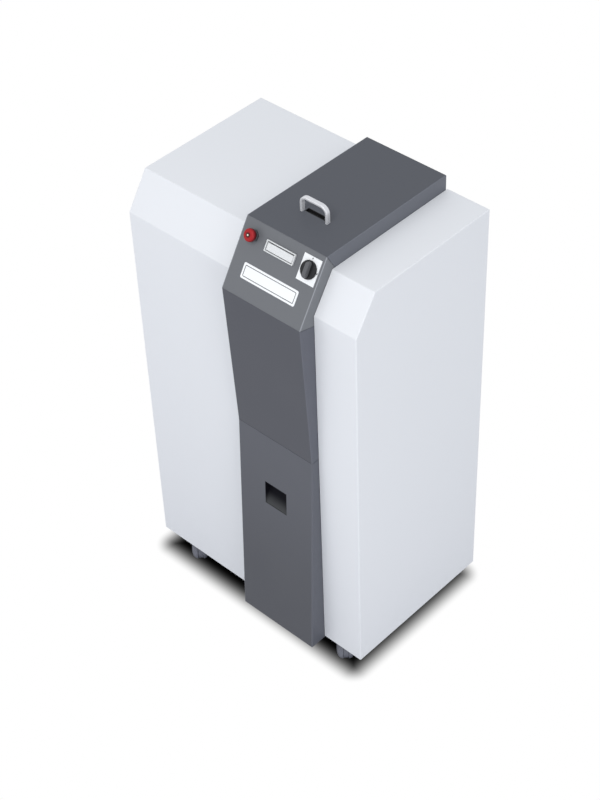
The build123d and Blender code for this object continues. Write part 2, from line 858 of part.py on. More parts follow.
with BuildPart() as estop_head:
    panel_disc(estop_spot, head_bottom, head_top, estop_head_radius)
    fillet(estop_head.faces().sort_by(panel_axis)[-1].edges(), radius=estop_head_height / 2)
    fillet(estop_head.faces().sort_by(panel_axis)[0].edges(), radius=estop_head_height / 5)
    panel_disc(estop_spot, head_bottom - estop_stem_depth, head_bottom, estop_stem_radius)
    key_bore = estop_key_radius + running_clearance
    panel_disc(estop_spot, head_top - estop_key_depth, head_top, key_bore, Mode.SUBTRACT)
finish(estop_head, "estop_head")

with BuildPart() as estop_key:
    panel_disc(estop_spot, head_top - estop_key_depth, head_top + estop_key_proud, estop_key_radius)
    with BuildSketch(panel_plane.offset(head_top + estop_key_proud)):
        with Locations(estop_spot):
            Rectangle(estop_key_radius / 4, estop_key_radius)
    extrude(amount=-2 * estop_key_proud, mode=Mode.SUBTRACT)
finish(estop_key, "estop_key")

# Main switch: square plate and a turning knob with a raised grip bar
knob_bottom = switch_plate_sheet + stem_clearance
knob_top = knob_bottom + knob_disc
with BuildPart() as switch_plate:
    with BuildSketch(panel_plane):
        with Locations(switch_spot):
            Rectangle(switch_plate_width, switch_plate_height)
            Circle(knob_spindle_radius + running_clearance, mode=Mode.SUBTRACT)
    extrude(amount=switch_plate_sheet)
finish(switch_plate, "switch_plate")

with BuildPart() as switch_knob:
    panel_disc(switch_spot, knob_bottom, knob_top, knob_radius)
    fillet(switch_knob.faces().sort_by(panel_axis)[-1].edges(), radius=knob_disc / 3)
    with BuildSketch(panel_plane.offset(knob_top)):
        with Locations(switch_spot):
            SlotOverall(2 * knob_radius - knob_disc, knob_grip_width, rotation=90)
    extrude(amount=knob_grip_height, taper=knob_grip_taper)
    fillet(switch_knob.faces().sort_by(panel_axis)[-1].edges(), radius=knob_grip_width / 6)
    panel_disc(switch_spot, -knob_spindle_depth, knob_bottom, knob_spindle_radius)
finish(switch_knob, "switch_knob")

with BuildPart() as label_plate:
    with BuildSketch(panel_plane):
        with Locations((0, -label_from_top)):
            RectangleRounded(label_width, label_height, label_corner)
    extrude(amount=label_sheet)
finish(label_plate, "label_plate")

# Cutting block: thick side walls on two cross beams, closed in front and behind by the combs
block_left = column_middle - block_width / 2
block_right = column_middle + block_width / 2
chamber_left = column_middle - chamber_width / 2
with BuildPart() as block_walls:
    for wall_x in (block_left, block_right - block_wall):
        with BuildSketch(Plane.YZ.offset(wall_x)):
            with Locations((block_middle, cutter_axis_z)):
                Rectangle(2 * block_half_length, 2 * block_half_height)
            for bore_y in shaft_y.values():
                with Locations((bore_y, cutter_axis_z)):
                    Circle(shaft_radius + gear_stand_off, mode=Mode.SUBTRACT)
        extrude(amount=block_wall)
finish(block_walls, "block_walls")

with BuildPart() as block_beams:
    beam_offset = block_half_length - beam_width / 2
    for beam_y in (block_middle - beam_offset, block_middle + beam_offset):
        with BuildSketch(Plane.YZ.offset(bay_left)):
            with Locations((beam_y, block_bottom - beam_height / 2)):
                Rectangle(beam_width, beam_height)
        extrude(amount=bay_right - bay_left)
finish(block_beams, "block_beams")

cutter_pitch = chamber_width / cutter_slots
cutter_width = cutter_pitch - 2 * cutter_axial_gap
finger_width = cutter_pitch - 2 * comb_gap
comb_face = block_half_length - comb_plate
with BuildPart() as stripper_combs:
    for side, shaft, first_slot in ((-1, "a", 1), (1, "b", 0)):
        plate_y = block_middle + side * (comb_face + comb_plate / 2)
        with BuildSketch(Plane.YZ.offset(chamber_left)):
            with Locations((plate_y, cutter_axis_z)):
                Rectangle(comb_plate, 2 * block_half_height)
        extrude(amount=chamber_width)
        finger_end = shaft_y[shaft]
        finger_root = block_middle + side * comb_face
        for slot in range(first_slot, cutter_slots, 2):
            with BuildSketch(Plane.YZ.offset(chamber_left + (slot + 0.5) * cutter_pitch)):
                with Locations(((finger_end + finger_root) / 2, cutter_axis_z)):
                    Rectangle(abs(finger_root - finger_end), 2 * comb_half_height)
                with Locations((finger_end, cutter_axis_z)):
                    Circle(spacer_radius + comb_gap, mode=Mode.SUBTRACT)
                    Rectangle(2 * comb_half_height, 2 * comb_half_height, mode=Mode.SUBTRACT)
            extrude(amount=finger_width / 2, both=True)
finish(stripper_combs, "stripper_combs")

# Shafts, cutters, spacers and synchronising gears
bearing_length = bearing_flange + bearing_boss
gear_left = block_right + bearing_length + gear_stand_off
shaft_right = gear_left + gear_width + shaft_end
gearbox_right = plate_left_outer - gearbox_flange
shaft_left = {"a": gearbox_right - gearbox_length, "b": block_left - bearing_length - shaft_end}
bore = shaft_radius + seat_clearance


def polar(radius, angle):
    return (radius * cos(angle), radius * sin(angle))


def cutter_outline():
    # Disc with hooked teeth, each with a steep leading face and a long back
    tooth = 2 * pi / cutter_teeth
    hook = [
        polar(cutter_tooth_root, -tooth / 12),
        polar(cutter_tip_radius, 0),
        polar(cutter_tip_radius, tooth / 6),
        polar(cutter_tooth_root, tooth / 2),
    ]
    with BuildSketch() as tooth_face:
        with BuildLine():
            Polyline(*hook, close=True)
        make_face()
    with BuildSketch() as outline:
        Circle(cutter_body_radius)
        with PolarLocations(0, cutter_teeth):
            add(tooth_face.sketch)
        Circle(bore, mode=Mode.SUBTRACT)
    return outline.sketch


def gear_outline():
    # Involute spur gear with a tooth gap on its local X axis
    pitch_radius = gear_module * gear_teeth / 2
    base_radius = pitch_radius * cos(radians(gear_pressure_angle))
    tip_radius = pitch_radius + gear_module
    root_radius = pitch_radius - gear_root_factor * gear_module
    beyond_tip = tip_radius + gear_module / 4

    def gap_angle(radius):
        pressure = acos(base_radius / radius)
        involute = tan(pressure) - pressure
        rest = tan(radians(gear_pressure_angle)) - radians(gear_pressure_angle)
        return pi / (2 * gear_teeth) + gear_flank_gap / pitch_radius - rest + involute

    narrow = gap_angle(base_radius)
    wide = gap_angle(beyond_tip)
    half = gap_angle(pitch_radius)
    with BuildSketch() as gap:
        with BuildLine():
            Line(polar(base_radius, narrow), polar(root_radius, narrow))
            Line(polar(root_radius, narrow), polar(root_radius, -narrow))
            Line(polar(root_radius, -narrow), polar(base_radius, -narrow))
            ThreePointArc(polar(base_radius, -narrow), polar(pitch_radius, -half), polar(beyond_tip, -wide))
            Line(polar(beyond_tip, -wide), polar(beyond_tip, wide))
            ThreePointArc(polar(beyond_tip, wide), polar(pitch_radius, half), polar(base_radius, narrow))
        make_face()
    with BuildSketch() as outline:
        Circle(tip_radius)
        with PolarLocations(0, gear_teeth):
            add(gap.sketch, mode=Mode.SUBTRACT)
        Circle(bore, mode=Mode.SUBTRACT)
    return outline.sketch


def on_shaft(outline, x, shaft, turn):
    # Places a flat outline square to a shaft, turned about it
    plane = Plane(origin=(x, shaft_y[shaft], cutter_axis_z), x_dir=(0, 1, 0), z_dir=(1, 0, 0))
    return plane.location * Rot(0, 0, turn) * outline


cutter_face = cutter_outline()
gear_face = gear_outline()
for shaft, first_slot in (("a", 0), ("b", 1)):
    cutter_slots_here = range(first_slot, cutter_slots, 2)
    spacer_slots_here = range(1 - first_slot, cutter_slots, 2)
    with BuildPart() as cutter_shaft:
        with BuildSketch(Plane.YZ.offset(shaft_left[shaft])):
            with Locations((shaft_y[shaft], cutter_axis_z)):
                Circle(shaft_radius)
        extrude(amount=shaft_right - shaft_left[shaft])
    finish(cutter_shaft, f"cutter_shaft_{shaft}")

    with BuildPart() as cutters:
        for slot in cutter_slots_here:
            slot_x = chamber_left + slot * cutter_pitch + cutter_axial_gap
            turn = slot * 360 / cutter_teeth / cutter_slots
            extrude(on_shaft(cutter_face, slot_x, shaft, turn), amount=cutter_width)
    finish(cutters, f"cutters_{shaft}")

    with BuildPart() as spacers:
        for slot in spacer_slots_here:
            spacer_start = max(slot * cutter_pitch - cutter_axial_gap, cutter_axial_gap)
            spacer_end = min((slot + 1) * cutter_pitch + cutter_axial_gap, chamber_width - cutter_axial_gap)
            with BuildSketch(Plane.YZ.offset(chamber_left + spacer_start)):
                with Locations((shaft_y[shaft], cutter_axis_z)):
                    Circle(spacer_radius)
                    Circle(bore, mode=Mode.SUBTRACT)
            extrude(amount=spacer_end - spacer_start)
    finish(spacers, f"spacers_{shaft}")

    with BuildPart() as sync_gear:
        gear_turn = 0 if shaft == "a" else 180 / gear_teeth
        extrude(on_shaft(gear_face, gear_left, shaft, gear_turn), amount=gear_width)
    finish(sync_gear, f"sync_gear_{shaft}")

with BuildPart() as shaft_bearings:
    for bearing_y in shaft_y.values():
        for face_x, side in ((block_left, -1), (block_right, 1)):
            with BuildSketch(Plane.YZ.offset(face_x)):
                with Locations((bearing_y, cutter_axis_z)):
                    Circle(bearing_flange_radius)
                    Circle(shaft_radius + running_clearance, mode=Mode.SUBTRACT)
            extrude(amount=side * bearing_flange)
            with BuildSketch(Plane.YZ.offset(face_x + side * bearing_flange)):
                with Locations((bearing_y, cutter_axis_z)):
                    Circle(bearing_boss_radius)
                    Circle(shaft_radius + running_clearance, mode=Mode.SUBTRACT)
            extrude(amount=side * bearing_boss)
finish(shaft_bearings, "shaft_bearings")

# Gearmotor on the outside of the left side plate, driving the front shaft
motor_y = shaft_y["a"] + motor_offset_y
motor_z = cutter_axis_z + motor_offset_z
gearbox_left = gearbox_right - gearbox_length
with BuildPart() as gearbox:
    with BuildSketch(Plane.YZ.offset(plate_left_outer)):
        with Locations((shaft_y["a"], cutter_axis_z)):
            Circle(gearbox_flange_radius)
    extrude(amount=-gearbox_flange)
    with BuildSketch(Plane.YZ.offset(gearbox_right)):
        with Locations((shaft_y["a"], cutter_axis_z)):
            Circle(gearbox_radius)
        with Locations((motor_y, motor_z)):
            Circle(motor_radius)
        make_hull()
    extrude(amount=-gearbox_length)
    with BuildSketch(Plane.YZ.offset(plate_left_outer)):
        with Locations((shaft_y["a"], cutter_axis_z)):
            Circle(shaft_radius + running_clearance)
    extrude(amount=-gearbox_flange - gearbox_length, mode=Mode.SUBTRACT)
finish(gearbox, "gearbox")

with BuildPart() as drive_motor:
    with BuildSketch(Plane.YZ.offset(gearbox_left)):
        with Locations((motor_y, motor_z)):
            Circle(motor_radius)
            with PolarLocations(motor_radius, motor_fins):
                Rectangle(2 * motor_fin_height, motor_fin_width)
    extrude(amount=-motor_length)
    with BuildSketch(Plane.YZ.offset(gearbox_left - motor_length)):
        with Locations((motor_y, motor_z)):
            Circle(motor_radius + motor_fin_height)
    extrude(amount=-fan_cover_length)
    fillet(drive_motor.faces().sort_by(Axis.X)[0].edges(), radius=motor_fin_height)
    with BuildSketch(Plane.XY.offset(motor_z + motor_radius)):
        with Locations((gearbox_left - motor_length / 2, motor_y)):
            RectangleRounded(terminal_box_size, terminal_box_size, motor_fin_width)
    extrude(amount=terminal_box_height)
finish(drive_motor, "drive_motor")

with BuildPart() as electrics_box:
    with BuildSketch(Plane.YZ.offset(plate_right_outer)):
        with Locations((block_middle, electrics_from_floor + electrics_height / 2)):
            RectangleRounded(electrics_depth, electrics_height, electrics_corner)
    extrude(amount=electrics_width)
finish(electrics_box, "electrics_box")

# Drawer: front pan, carriage, bin and telescopic runners
drawer_slope = (foot - crease).normalized()
drawer_start = along(crease, foot, pan_gap / 2)
drawer_back = cover_front + shut_line
drawer_outline = [drawer_start, foot, Vector(drawer_back, foot.Y), Vector(drawer_back, drawer_start.Y)]
pull_centre = along(crease, foot, pull_drop)
pull_inward = Vector(0, -drawer_slope.Y, drawer_slope.X)
pull_half = pull_height / 2
pull_plane = Plane(
    origin=(column_middle, pull_centre.X, pull_centre.Y),
    x_dir=(1, 0, 0),
    z_dir=pull_inward * -1,
)
with BuildPart() as drawer_front:
    extrude(side_profile(column_left, drawer_outline), amount=column_width)
    round_skin(drawer_front, drawer_start, foot, column_bend)
    open_side = nearest_face(drawer_front, column_middle, middle(drawer_outline[2], drawer_outline[3]))
    offset(amount=-lid_sheet, openings=open_side)
    with BuildSketch(pull_plane):
        Rectangle(pull_width, pull_height)
    extrude(amount=-2 * column_sheet, mode=Mode.SUBTRACT)
finish(drawer_front, "drawer_front")

cup_plane = Plane(
    origin=pull_plane.from_local_coords((-pull_width / 2 + seat_clearance, 0, 0)),
    x_dir=pull_inward,
    z_dir=(1, 0, 0),
)
cup_half = pull_half - seat_clearance
cup_outline = [
    (0, cup_half),
    (pull_depth, cup_half),
    (pull_depth, cup_half - pull_roof),
    (pull_flange, -cup_half),
    (0, -cup_half),
]
with BuildPart() as finger_pull:
    with BuildSketch(cup_plane):
        with BuildLine():
            Polyline(*cup_outline, close=True)
        make_face()
    extrude(amount=pull_width - 2 * seat_clearance)
    mouth = finger_pull.faces().sort_by_distance(pull_plane.origin)[0]
    offset(amount=-pull_wall, openings=mouth)
finish(finger_pull, "finger_pull")

runner_web = [0, runner_sheet + runner_gap, 2 * (runner_sheet + runner_gap)]
runner_inset = 2 * (runner_sheet + runner_gap)
runner_heights = [runner_height, runner_height - runner_inset, runner_height - 2 * runner_inset]
inner_rail_end = runner_web[1] + runner_middle_depth + runner_gap
carriage_floor = frame_top + carriage_floor_gap
runner_z = carriage_floor + runner_above_floor
runner_front = bay_front + runner_sheet
rail_sides = ((bay_left, 1), (bay_right, -1))


def channel_rails(web, depth, height):
    # A mirrored pair of rolled channels, open towards the drawer
    with BuildPart() as rails:
        for face_x, side in rail_sides:
            with BuildSketch(Plane.XZ.offset(-runner_front)):
                with Locations((face_x + side * (web + depth / 2), runner_z)):
                    Rectangle(depth, height)
                with Locations((face_x + side * (web + runner_sheet + depth / 2), runner_z)):
                    Rectangle(depth, height - 2 * runner_sheet, mode=Mode.SUBTRACT)
            extrude(amount=-runner_length)
    return rails


finish(channel_rails(runner_web[0], runner_fixed_depth, runner_heights[0]), "runner_fixed")
finish(channel_rails(runner_web[1], runner_middle_depth, runner_heights[1]), "runner_middle")

with BuildPart() as runner_inner:
    for face_x, side in rail_sides:
        with BuildSketch(Plane.XZ.offset(-runner_front)):
            with Locations((face_x + side * (runner_web[2] + inner_rail_end) / 2, runner_z)):
                Rectangle(inner_rail_end - runner_web[2], runner_heights[2])
        extrude(amount=-runner_length)
finish(runner_inner, "runner_inner")

carriage_width = bay_right - bay_left - 2 * inner_rail_end
upright_back = drawer_back - shut_line
carriage_depth = bin_depth + 2 * carriage_sheet
with BuildPart() as drawer_carriage:
    with BuildSketch(Plane.XY.offset(carriage_floor)):
        with Locations((column_middle, upright_back + carriage_depth / 2)):
            Rectangle(carriage_width, carriage_depth)
    extrude(amount=carriage_side)
    with BuildSketch(Plane.XY.offset(carriage_floor + carriage_sheet)):
        with Locations((column_middle, upright_back + carriage_depth / 2)):
            Rectangle(carriage_width - 2 * carriage_sheet, carriage_depth)
    extrude(amount=carriage_side, mode=Mode.SUBTRACT)
    with BuildSketch(Plane.XZ.offset(-upright_back)):
        with Locations((column_middle, (cover_bottom + crease.Y) / 2)):
            Rectangle(column_width - 2 * lid_sheet, crease.Y - cover_bottom - bin_top_gap)
    extrude(amount=carriage_front_sheet)
finish(drawer_carriage, "drawer_carriage")

bin_bottom = carriage_floor + carriage_sheet
bin_top = crease.Y - bin_top_gap
bin_width = carriage_width - 2 * carriage_sheet - 2 * bin_gap
bin_middle_y = upright_back + bin_gap + bin_depth / 2
with BuildPart() as waste_bin:
    with BuildSketch(Plane.XY.offset(bin_bottom)):
        with Locations((column_middle, bin_middle_y)):
            RectangleRounded(bin_width, bin_depth, bin_corner)
    extrude(amount=bin_top - bin_bottom)
    offset(amount=-bin_sheet, openings=waste_bin.faces().sort_by(Axis.Z)[-1])
finish(waste_bin, "waste_bin")

with BuildPart() as discharge_chute:
    with BuildSketch(Plane.XY.offset(bin_top + chute_gap)):
        with Locations((column_middle, block_middle)):
            Rectangle(chamber_width + 2 * hopper_sheet, hopper_depth + 2 * hopper_sheet)
            Rectangle(chamber_width, hopper_depth, mode=Mode.SUBTRACT)
    extrude(amount=block_bottom - bin_top - chute_gap)
finish(discharge_chute, "discharge_chute")
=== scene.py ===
import json
from math import cos, pi, radians, sin

import bmesh
import bpy
from mathutils import Matrix, Vector


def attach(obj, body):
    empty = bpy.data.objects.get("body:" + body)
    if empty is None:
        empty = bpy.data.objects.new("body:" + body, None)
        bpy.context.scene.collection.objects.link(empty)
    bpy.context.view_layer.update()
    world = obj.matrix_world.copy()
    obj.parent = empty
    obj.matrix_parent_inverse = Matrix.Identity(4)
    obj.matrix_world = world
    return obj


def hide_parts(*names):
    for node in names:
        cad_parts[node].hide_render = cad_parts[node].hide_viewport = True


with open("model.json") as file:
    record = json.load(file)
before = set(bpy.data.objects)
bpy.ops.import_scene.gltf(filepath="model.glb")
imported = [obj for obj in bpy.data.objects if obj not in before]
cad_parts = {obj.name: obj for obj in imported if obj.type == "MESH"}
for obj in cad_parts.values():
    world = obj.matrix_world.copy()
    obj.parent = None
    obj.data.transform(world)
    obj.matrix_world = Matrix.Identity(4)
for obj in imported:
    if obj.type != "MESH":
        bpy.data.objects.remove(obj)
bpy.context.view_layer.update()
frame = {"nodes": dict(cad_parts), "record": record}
nodes = frame["nodes"]
scene = bpy.context.scene
print("frame loaded:", len(nodes), "nodes")


class Signal:
    # one output socket that takes part in plain arithmetic
    def __init__(self, finish, socket):
        self.finish = finish
        self.socket = socket

    def maths(self, operation, *values):
        return self.finish.add("ShaderNodeMath", {"operation": operation}, dict(enumerate(values)))

    def __add__(self, other):
        return self.maths("ADD", self, other)

    __radd__ = __add__

    def __sub__(self, other):
        return self.maths("SUBTRACT", self, other)

    def __rsub__(self, other):
        return self.maths("SUBTRACT", other, self)

    def __mul__(self, other):
        return self.maths("MULTIPLY", self, other)

    __rmul__ = __mul__

    def __pow__(self, other):
        return self.maths("POWER", self, other)


class Finish:
    # a material under construction
    def __init__(self, name):
        self.material = bpy.data.materials.new(name)
        self.material.use_nodes = True
        self.tree = self.material.node_tree
        self.shader = self.tree.nodes["Principled BSDF"]
        self.output = self.tree.nodes["Material Output"]

    def add(self, kind, settings=None, sockets=None, out=0):
        node = self.tree.nodes.new(kind)
        for key, value in (settings or {}).items():
            setattr(node, key, value)
        self.wire(node, sockets or {})
        return Signal(self, node.outputs[out])

    def wire(self, node, sockets):
        for key, value in sockets.items():
            if isinstance(value, Signal):
                self.tree.links.new(value.socket, node.inputs[key])
            else:
                node.inputs[key].default_value = value

    def place(self, scale=(1, 1, 1)):
        coords = self.add("ShaderNodeTexCoord", out="Object")
        return self.add("ShaderNodeMapping", None, {"Vector": coords, "Scale": scale})

    def noise(self, where, scale, detail):
        return self.add("ShaderNodeTexNoise", None, {"Vector": where, "Scale": scale, "Detail": detail})

    def vector(self, operation, *values, out=0):
        return self.add("ShaderNodeVectorMath", {"operation": operation}, dict(enumerate(values)), out)

    def tint(self, factor, first, second):
        # sockets 6, 7 and 2 are the colours of a Mix node
        return self.add("ShaderNodeMix", {"data_type": "RGBA"}, {0: factor, 6: first, 7: second}, out=2)

    def step(self, value, low, high):
        return self.add("ShaderNodeMapRange", {"interpolation_type": "SMOOTHSTEP"},
                        {"Value": value, "From Min": low, "From Max": high})

    def axis(self, where, name):
        return self.add("ShaderNodeSeparateXYZ", None, {0: where}, out=name)

    def bump(self, height, strength, distance):
        return self.add("ShaderNodeBump", None,
                        {"Height": height, "Strength": strength, "Distance": distance})


def shade(colour, amount):
    return (*[channel * amount for channel in colour[:3]], 1)


softEdge = 40  # degrees, past which an edge of a round piece stays crisp


def makePiece(name, shape, material, smooth=None):
    mesh = bpy.data.meshes.new(name)
    shape.to_mesh(mesh)
    shape.free()
    mesh.materials.append(material)
    piece = bpy.data.objects.new(name, mesh)
    scene.collection.objects.link(piece)
    if smooth is not None:
        for face in mesh.polygons:
            face.use_smooth = True
        mesh.set_sharp_from_angle(angle=radians(smooth))
    return piece


# camera at the photograph's angle
view = {
    "place": (3.05456, -3.12880, 4.73236),
    "azimuth": 44.551,
    "elevation": 42.071,
    "roll": -2.43,
    "lens": 81.717,
    "sensor": 36,
    "farClip": 60,
}


def makeCamera(look):
    data = bpy.data.cameras.new("photoCamera")
    data.sensor_width = look["sensor"]
    data.lens = look["lens"]
    data.clip_end = look["farClip"]
    camera = bpy.data.objects.new("photoCamera", data)
    scene.collection.objects.link(camera)
    a, e, r = (radians(look[key]) for key in ("azimuth", "elevation", "roll"))
    back = Vector((sin(a) * cos(e), -cos(a) * cos(e), sin(e)))
    level = Vector((0, 0, 1)).cross(back).normalized()
    upright = back.cross(level)
    right = level * cos(r) + upright * sin(r)
    up = upright * cos(r) - level * sin(r)
    turn = Matrix((right, up, back)).transposed().to_4x4()
    camera.matrix_world = Matrix.Translation(look["place"]) @ turn
    scene.camera = camera


makeCamera(view)

# soft studio: even sky, a broad key from the front, a side panel and a low softbox on the left
studio = {
    "sky": (0.94, 0.965, 1.0, 1),
    "skyLevel": 0.79,
    "key": {"from": (1.0, -3.6, 5.6), "size": 2.4, "power": 96},
    "side": {"from": (4.1, -1.8, 1.58), "size": 1.8, "power": 30},
    "softbox": {"from": (-2.8, -4.6, 2.3), "size": 2.2, "power": 12},
    "aim": (0.05, 0.0, 0.9),
    "floorHalf": 15,
    "floorRough": 0.9,
    "white": (1, 1, 1, 1),
    "whiteLevel": 1.0,
    "bounceNear": (0.48, 0.50, 0.56, 1),
    "bounceFar": (0.74, 0.755, 0.79, 1),
    "bounceReach": 1.3,
    "shadowDark": (0.001, 0.001, 0.001, 1),
    "shadowMiddle": (-0.011, 0.031, 0),
    "shadowHalf": (0.424, 0.275, 0),
    "shadowCorner": 0.02,
    "shadowEdge": (-0.055, 0.058),
    "shadowPower": 2.2,
}


def makeLamp(name, lamp):
    data = bpy.data.lights.new(name, "AREA")
    data.shape = "DISK"
    data.size = lamp["size"]
    data.energy = lamp["power"]
    light = bpy.data.objects.new(name, data)
    scene.collection.objects.link(light)
    toward = Vector(studio["aim"]) - Vector(lamp["from"])
    turn = toward.to_track_quat("-Z", "Y").to_matrix().to_4x4()
    light.matrix_world = Matrix.Translation(lamp["from"]) @ turn


def makeWorld():
    world = bpy.data.worlds.new("studioSky")
    world.use_nodes = True
    sky = world.node_tree.nodes["Background"]
    sky.inputs["Color"].default_value = studio["sky"]
    sky.inputs["Strength"].default_value = studio["skyLevel"]
    scene.world = world


def makeFloor():
    # white to the eye and in reflections, with a painted soft contact shadow; to every other ray pale, with
    # painted shade that darkens it near the cabinet
    finish = Finish("studioFloor")
    coords = finish.add("ShaderNodeTexCoord", out="Object")
    offset = finish.vector("SUBTRACT", coords, studio["shadowMiddle"])
    past = finish.vector("SUBTRACT", finish.vector("ABSOLUTE", offset), studio["shadowHalf"])
    outside = finish.vector("MAXIMUM", past, (0, 0, 0))
    beyond = finish.vector("LENGTH", outside, out="Value")
    split = finish.axis(past, "X")
    deeper = split.maths("MAXIMUM", split, Signal(finish, split.socket.node.outputs["Y"]))
    distance = beyond + deeper.maths("MINIMUM", deeper, 0) - studio["shadowCorner"]
    paintedShade = finish.step(distance, *studio["shadowEdge"])
    paintedShadow = finish.tint(paintedShade ** studio["shadowPower"], studio["shadowDark"], studio["white"])
    white = finish.add("ShaderNodeEmission", None, {"Color": paintedShadow, "Strength": studio["whiteLevel"]})
    # painted shade: the floor that other rays see is darker near the cabinet, so less light bounces up to its
    # lower parts
    paintedBounceShade = finish.step(distance, 0.0, studio["bounceReach"])
    pale = finish.tint(paintedBounceShade, studio["bounceNear"], studio["bounceFar"])
    finish.wire(finish.shader, {"Base Color": pale, "Roughness": studio["floorRough"]})
    plain = Signal(finish, finish.shader.outputs[0])
    direct = finish.add("ShaderNodeLightPath", out="Is Camera Ray")
    mirrored = Signal(finish, direct.socket.node.outputs["Is Glossy Ray"])
    through = Signal(finish, direct.socket.node.outputs["Is Transmission Ray"])
    seen = direct + mirrored + through
    mix = finish.add("ShaderNodeMixShader", None, {0: seen, 1: plain, 2: white})
    finish.tree.links.new(mix.socket, finish.output.inputs["Surface"])
    shape = bmesh.new()
    bmesh.ops.create_grid(shape, x_segments=1, y_segments=1, size=studio["floorHalf"])
    floor = makePiece("floor", shape, finish.material)


makeWorld()
makeLamp("keyLamp", studio["key"])
makeLamp("sideLamp", studio["side"])
makeLamp("softboxLamp", studio["softbox"])
makeFloor()
scene.view_settings.view_transform = "Standard"
print("studio ready")

# skins: each noise has a scale and a detail, and depth is the height of the bump
coatSkin = {"broad": (5.0, 3.0), "fine": (420.0, 2.0), "skin": (900.0, 1.0), "speck": (2200.0, 1.0),
            "patchy": 0.12, "grainy": 0.05, "depth": 0.0004}
plasticSkin = {"broad": (9.0, 2.0), "grit": (1500.0, 2.0), "patchy": 0.1, "grainy": 0.06, "graded": 0.1,
               "coatRough": 0.12, "depth": 0.0003}
metalSkin = {"lines": (1.0, 3.0), "broad": (12.0, 2.0), "lined": 0.2, "patchy": 0.08,
             "dark": 0.9, "bright": 1.08, "depth": 0.0003}


def powderCoat(name, colour, rough, peel, mottle, gleam=0.45, paintedFoldLight=None, paintedShade=None):
    # orange-peel skin and faint mottling, with painted light on the side flanges, a painted highlight along
    # each bend, and painted shade that darkens the tone towards the bottom
    finish = Finish(name)
    where = finish.place()
    grains = ("broad", "fine", "skin", "speck")
    broad, fine, skin, speck = (finish.noise(where, *coatSkin[key]) for key in grains)
    tone = broad * 0.7 + speck * 0.3
    paint = finish.tint(tone, shade(colour, 1 - mottle), shade(colour, 1 + mottle))
    # painted shade: darker towards the bottom, lighter towards the top
    if paintedShade:
        rise = finish.step(finish.axis(where, "Z"), *paintedShade["reach"])
        paint = finish.tint(rise, paint, shade(colour, paintedShade["paintedLift"]))
    # painted light: lighter side flanges, with a painted highlight in a narrow band along the bend
    if paintedFoldLight:
        across = finish.axis(where, "X") - paintedFoldLight["middle"]
        reach = across.maths("ABSOLUTE", across)
        paint = finish.tint(finish.step(reach, *paintedFoldLight["flange"]), paint, shade(colour, paintedFoldLight["paintedLift"]))
        paintedBendHighlight = finish.step(reach, *paintedFoldLight["rise"]) - finish.step(reach, *paintedFoldLight["fall"])
        paint = finish.tint(paintedBendHighlight, paint, shade(colour, paintedFoldLight["paintedBendHighlight"]))
    finish.wire(finish.shader, {
        "Base Color": paint,
        "Roughness": rough + (broad - 0.5) * coatSkin["patchy"] + (fine - 0.5) * coatSkin["grainy"],
        "Normal": finish.bump(skin * 0.6 + fine * 0.4, peel, coatSkin["depth"]),
        "Specular IOR Level": gleam,
    })
    return finish.material


def moulded(name, colour, rough, grain=0.06, gloss=0.0, mottle=0.03, gleam=0.5):
    # spark-eroded plastic skin
    finish = Finish(name)
    where = finish.place()
    broad, grit = (finish.noise(where, *plasticSkin[key]) for key in ("broad", "grit"))
    tone = broad * 0.6 + grit * 0.4
    finish.wire(finish.shader, {
        "Base Color": finish.tint(tone, shade(colour, 1 - mottle), shade(colour, 1 + mottle)),
        "Roughness": rough + (broad - 0.5) * plasticSkin["patchy"] + (grit - 0.5) * plasticSkin["grainy"],
        "Normal": finish.bump(grit, grain, plasticSkin["depth"]),
        "Coat Weight": gloss,
        "Coat Roughness": plasticSkin["coatRough"],
        "Specular IOR Level": gleam,
    })
    return finish.material


def metal(name, colour, rough, stretch, grain, shine=1.0):
    # fine-grained metal, drawn out along an axis where the stretch is uneven
    finish = Finish(name)
    lines = finish.noise(finish.place(stretch), *metalSkin["lines"])
    broad = finish.noise(finish.place(), *metalSkin["broad"])
    tone = broad * 0.5 + lines * 0.5
    finish.wire(finish.shader, {
        "Base Color": finish.tint(tone, shade(colour, metalSkin["dark"]), shade(colour, metalSkin["bright"])),
        "Roughness": rough + (lines - 0.5) * metalSkin["lined"] + (broad - 0.5) * metalSkin["patchy"],
        "Metallic": shine,
        "Normal": finish.bump(lines, grain, metalSkin["depth"]),
    })
    return finish.material


# painted light on the side flanges and painted highlights along the bends of the column and the control panel
columnPaintedFoldLight = {"middle": 0.147, "flange": (0.1530, 0.1555), "paintedLift": 1.55,
              "rise": (0.1525, 0.1540), "fall": (0.1548, 0.1558), "paintedBendHighlight": 1.6}
panelPaintedFoldLight = {"middle": 0.147, "flange": (0.1525, 0.1545), "paintedLift": 1.2,
             "rise": (0.1520, 0.1534), "fall": (0.1548, 0.1558), "paintedBendHighlight": 1.95}
# painted shade: the drawer front darkens towards the floor
drawerPaintedShadeRamp = {"reach": (0.2, 0.95), "paintedLift": 1.34}
columnCoat = {"rough": 0.46, "peel": 0.06, "mottle": 0.03, "gleam": 0.22, "paintedFoldLight": columnPaintedFoldLight}
keySkin = {"rough": 0.5, "grain": 0.02, "gleam": 0.25}

coverPaint = powderCoat("coverPaint", (0.770, 0.781, 0.806), rough=0.45, peel=0.03, mottle=0.008)
columnPaint = powderCoat("columnPaint", (0.0925, 0.0975, 0.1125), **columnCoat)
# painted shade: darker copies of the column paint on the upper front and the drawer front
frontPaintedShade = powderCoat("frontPaintedShade", (0.0800, 0.0832, 0.0990), **columnCoat)
drawerPaintedShade = powderCoat("drawerPaintedShade", (0.0782, 0.0815, 0.0950), **columnCoat, paintedShade=drawerPaintedShadeRamp)
